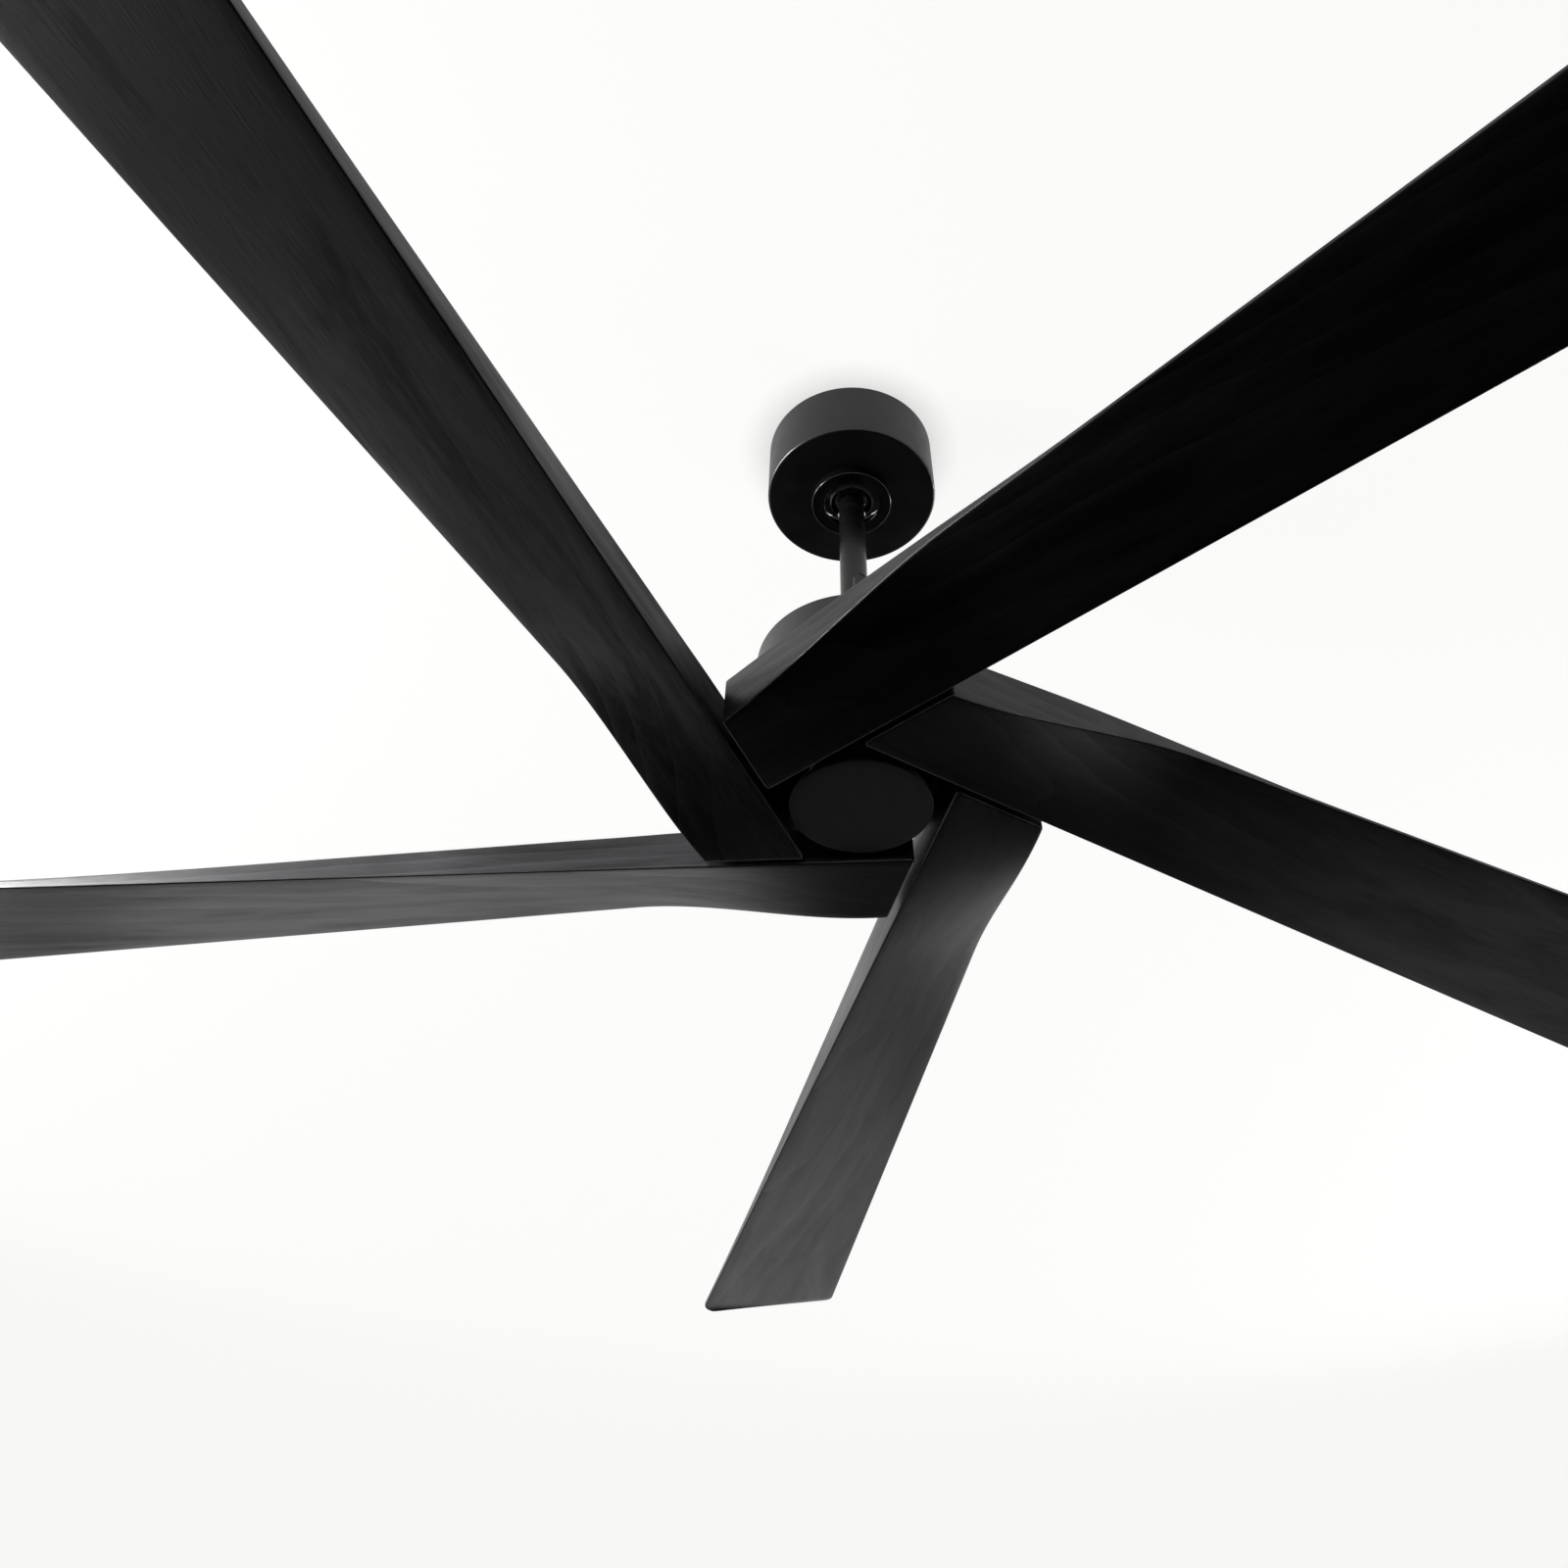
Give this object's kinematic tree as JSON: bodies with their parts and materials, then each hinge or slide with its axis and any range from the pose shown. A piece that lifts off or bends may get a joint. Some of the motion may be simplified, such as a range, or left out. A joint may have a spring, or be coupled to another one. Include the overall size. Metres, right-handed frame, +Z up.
{
  "type": "ceiling fan",
  "caption": "Ceiling fan with carved black wooden blades swept round a flat cap, a plain motor can, a downrod and a round canopy, hung from a ball joint.",
  "frame": {"origin": "centre of the hanger bracket's top face, where it meets the ceiling", "axes": "+Z up along the downrod and out of the bracket's top face; X along the bracket's long side, towards the receiver; Y across it, with the rod's entry slot at +Y"},
  "size_m": [1.736, 1.7257, 0.4124],
  "materials": {
    "zinc_steel": "zinc plated sheet steel",
    "canopy_paint": "matte black powder coat",
    "trim_paint": "matte black powder coat",
    "bright_steel": "bright steel",
    "receiver_plastic": "moulded plastic case",
    "nylon": "moulded nylon",
    "ball_gloss": "polished black moulding",
    "rod_paint": "matte black powder coat",
    "yoke_paint": "matte black powder coat",
    "housing_paint": "matte black powder coat",
    "laminations": "stacked laminations",
    "copper_winding": "enamelled copper wire",
    "cast_alloy": "die cast, unpainted",
    "ferrite": "sintered ferrite",
    "carrier_paint": "matte black powder coat on cast alloy",
    "blade_wood": "black stained open-grain wood, satin",
    "cap_paint": "matte black, finely grained"
  },
  "bodies": {
    "hanger": {"hanger_bracket": "zinc_steel", "canopy": "canopy_paint", "canopy_trim_ring": "trim_paint", "canopy_screw_1": "bright_steel", "canopy_screw_2": "bright_steel", "receiver_module": "receiver_plastic"},
    "liner": {"seat_liner": "nylon"},
    "drop": {"hanger_ball": "ball_gloss", "ball_pin": "bright_steel", "downrod": "rod_paint", "yoke": "yoke_paint", "clevis_pin": "bright_steel", "clevis_clip": "bright_steel", "yoke_screw_1": "bright_steel", "yoke_screw_2": "bright_steel", "yoke_screw_3": "bright_steel", "yoke_set_screw_1": "bright_steel", "yoke_set_screw_2": "bright_steel", "motor_housing": "housing_paint", "motor_shaft": "bright_steel", "shaft_circlip": "bright_steel", "stator_core": "laminations", "coil_ring_upper": "copper_winding", "coil_ring_lower": "copper_winding"},
    "rotor": {"rotor_shell": "cast_alloy", "rotor_cover": "cast_alloy", "bearing_lower": "bright_steel", "bearing_upper": "bright_steel", "magnet_ring": "ferrite", "blade_carrier": "carrier_paint", "rotor_screw_1": "bright_steel", "rotor_screw_2": "bright_steel", "rotor_screw_3": "bright_steel", "rotor_screw_4": "bright_steel", "rotor_screw_5": "bright_steel", "blade_1": "blade_wood", "blade_2": "blade_wood", "blade_3": "blade_wood", "blade_4": "blade_wood", "blade_5": "blade_wood", "blade_1_screw_1": "bright_steel", "blade_1_screw_2": "bright_steel", "blade_1_screw_3": "bright_steel", "blade_2_screw_1": "bright_steel", "blade_2_screw_2": "bright_steel", "blade_2_screw_3": "bright_steel", "blade_3_screw_1": "bright_steel", "blade_3_screw_2": "bright_steel", "blade_3_screw_3": "bright_steel", "blade_4_screw_1": "bright_steel", "blade_4_screw_2": "bright_steel", "blade_4_screw_3": "bright_steel", "blade_5_screw_1": "bright_steel", "blade_5_screw_2": "bright_steel", "blade_5_screw_3": "bright_steel", "bottom_cap": "cap_paint"}
  },
  "joints": [
    {"name": "hanger_tilt", "type": "hinge", "parent": "hanger", "child": "liner", "pos_m": [0, 0, -0.0495], "axis": [1, 0, 0], "range_deg": [-10, 10]},
    {"name": "hanger_swing", "type": "hinge", "parent": "liner", "child": "drop", "pos_m": [0, 0, -0.0495], "axis": [0, 1, 0], "range_deg": [-10, 10]},
    {"name": "rotor_spin", "type": "hinge", "parent": "drop", "child": "rotor", "pos_m": [0, 0, -0.41], "axis": [0, 0, 1], "continuous": true}
  ]
}
